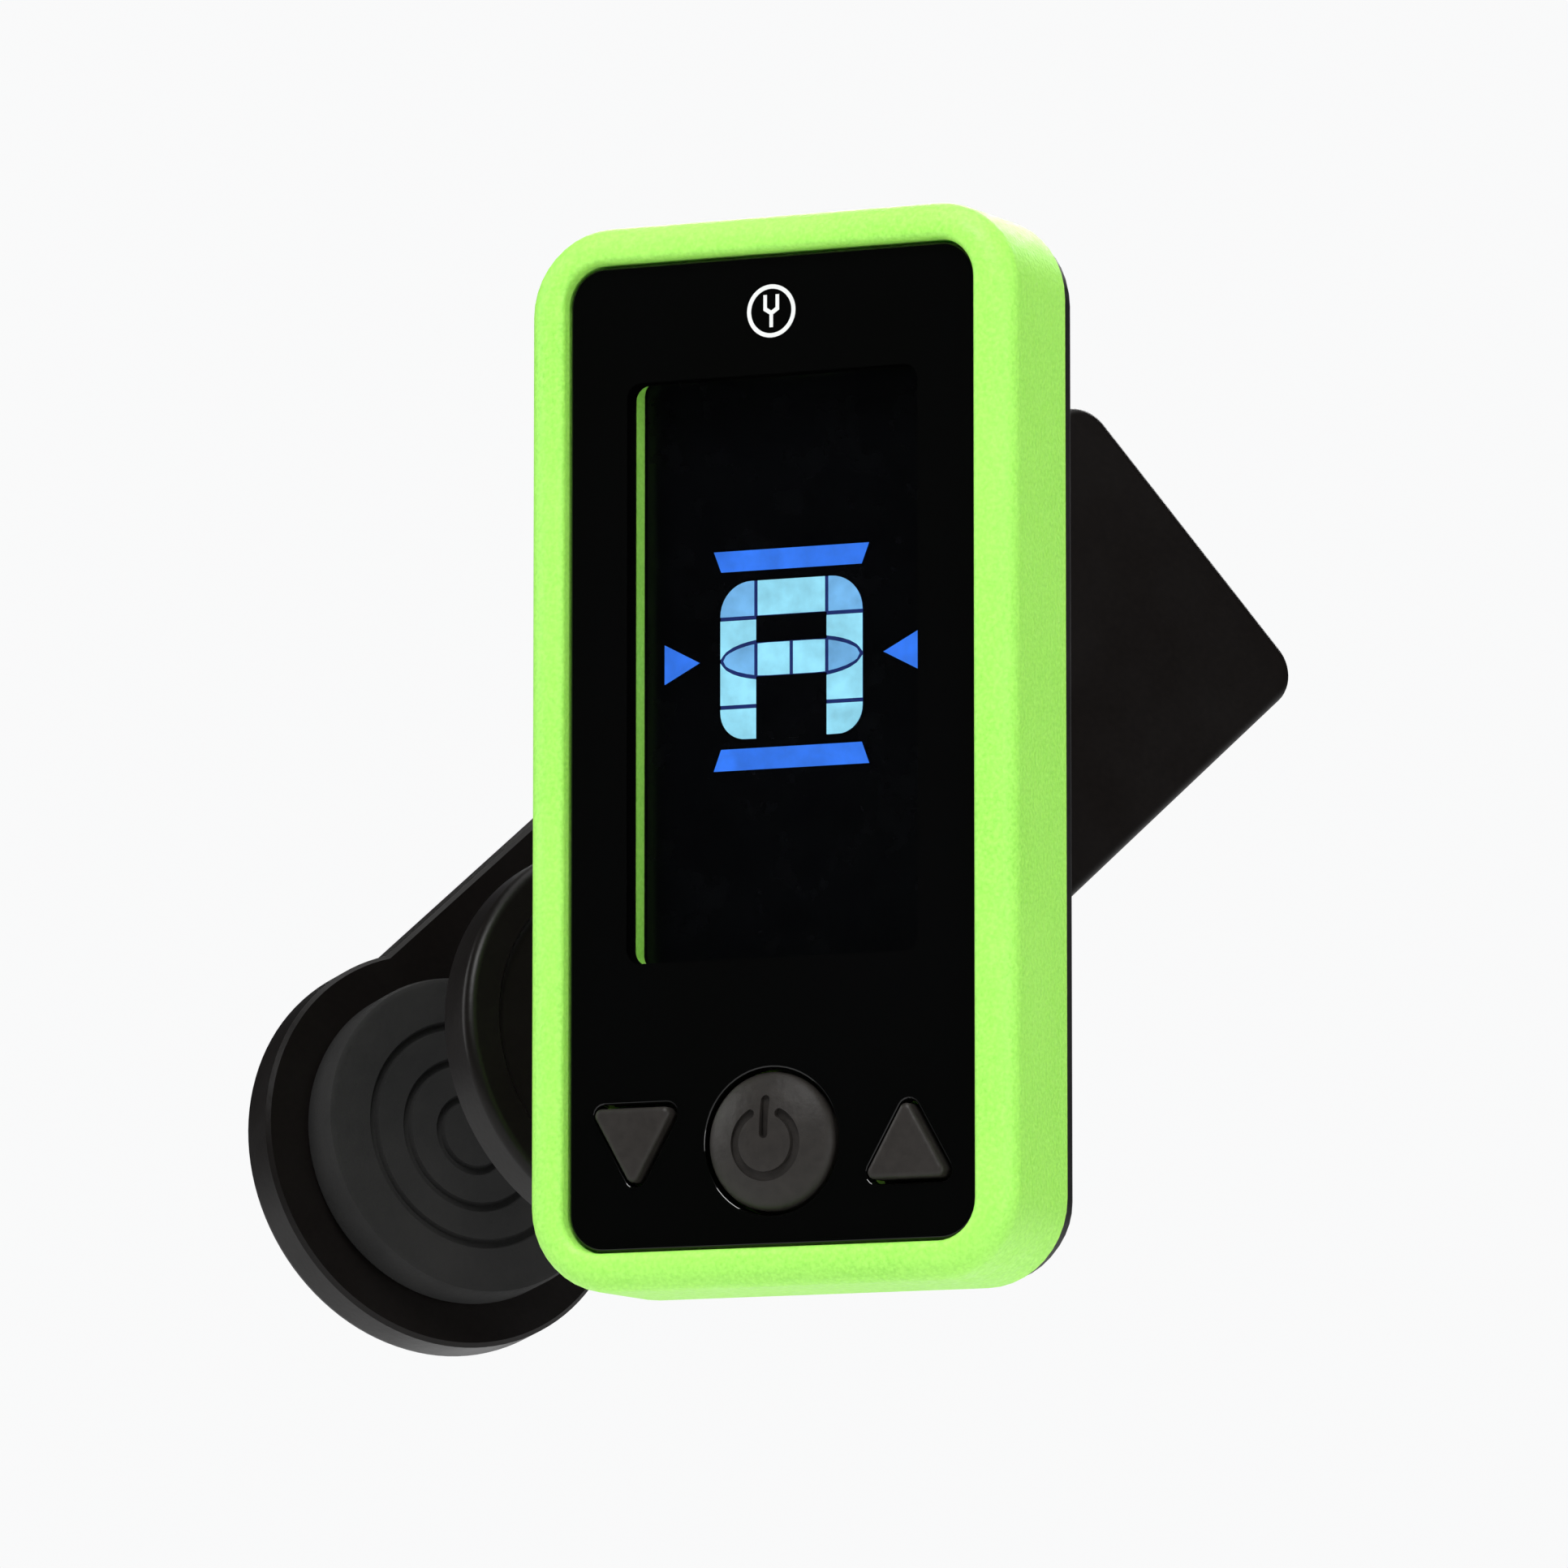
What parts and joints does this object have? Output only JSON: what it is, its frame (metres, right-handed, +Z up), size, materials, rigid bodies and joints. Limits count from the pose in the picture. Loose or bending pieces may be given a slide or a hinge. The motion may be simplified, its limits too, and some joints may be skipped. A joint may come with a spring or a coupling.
{
  "type": "clip on tuner",
  "caption": "Clip-on instrument tuner: upright display head on a tilting, turning neck above a spring clip with round rubber jaws.",
  "frame": {"origin": "centre of the fixed jaw pad's face, where the instrument's headstock is gripped", "axes": "-Y is the way the display faces and +Z is up the display; X runs across the display"},
  "size_m": [0.0633, 0.0795, 0.0627],
  "materials": {
    "lime_plastic": "semi-gloss lime green moulded plastic with fine speckle",
    "window_black": "gloss black acrylic",
    "adhesive": "black adhesive tape",
    "key_plastic": "satin dark grey",
    "display_glass": "dark display cell",
    "guide": "milky light guide",
    "elastomer": "striped elastomer",
    "board": "solder-masked laminate",
    "chip_black": "moulded package",
    "steel": "nickel-plated steel",
    "brass": "brass disc",
    "piezo": "silvered ceramic",
    "cover_black": "fine-textured black",
    "clip_black": "satin black nylon",
    "pad_rubber": "soft matt rubber"
  },
  "bodies": {
    "clip_base": {"front_lever": "clip_black", "fixed_pad": "pad_rubber", "hinge_pin": "steel", "torsion_spring": "steel"},
    "clip_rear": {"rear_lever": "clip_black", "moving_pad": "pad_rubber"},
    "neck_turret": {"turret": "clip_black", "base_screw": "steel", "base_washer": "steel", "tilt_screw": "steel", "tilt_nut": "steel", "tilt_washer_left": "steel", "tilt_washer_right": "steel"},
    "neck_arm": {"tilt_arm": "clip_black", "swivel_screw": "steel", "swivel_washer": "steel"},
    "head": {"bezel": "lime_plastic", "screen_window": "window_black", "window_tape": "adhesive", "lcd_glass": "display_glass", "zebra_strip": "elastomer", "light_guide": "guide", "backlight_led": "guide", "main_board": "board", "switch_down": "steel", "switch_power": "steel", "switch_up": "steel", "mcu_chip": "chip_black", "crystal": "steel", "battery_contact_minus": "steel", "battery_contact_plus": "steel", "coin_cell": "steel", "rear_cover": "cover_black", "cover_screw_1": "steel", "cover_screw_2": "steel", "cover_screw_3": "steel", "cover_screw_4": "steel", "piezo_plate": "brass", "piezo_ceramic": "piezo"},
    "down_key": {"button_down": "key_plastic"},
    "power_key": {"button_power": "key_plastic"},
    "up_key": {"button_up": "key_plastic"},
    "door": {"battery_door": "cover_black"}
  },
  "joints": [
    {"name": "clip_hinge", "type": "hinge", "parent": "clip_base", "child": "clip_rear", "pos_m": [0.00215, 0.02271, 0.01469], "axis": [0.4661, 0.4489, -0.7624], "range_deg": [-22, 35], "deforming": ["torsion_spring"]},
    {"name": "base_swivel", "type": "hinge", "parent": "clip_base", "child": "neck_turret", "pos_m": [0.00967, 0.00637, 0.00966], "axis": [0.8218, -0.5388, 0.1852], "continuous": true},
    {"name": "head_tilt", "type": "hinge", "parent": "neck_turret", "child": "neck_arm", "pos_m": [0.02282, -0.00225, 0.01263], "axis": [-0.2198, 0, 0.9755], "range_deg": [-5, 120]},
    {"name": "head_swivel", "type": "hinge", "parent": "neck_arm", "child": "head", "pos_m": [0.02282, -0.01075, 0.01263], "axis": [0, -1, 0], "range_deg": [-5, 60]},
    {"name": "down_press", "type": "slide", "parent": "head", "child": "down_key", "axis": [0, 1, 0], "range_m": [0, 0.0004]},
    {"name": "power_press", "type": "slide", "parent": "head", "child": "power_key", "axis": [0, 1, 0], "range_m": [0, 0.0004]},
    {"name": "up_press", "type": "slide", "parent": "head", "child": "up_key", "axis": [0, 1, 0], "range_m": [0, 0.0004]},
    {"name": "door_turn", "type": "hinge", "parent": "head", "child": "door", "pos_m": [0.02282, -0.01075, 0.02963], "axis": [0, 1, 0], "range_deg": [0, 40]}
  ]
}
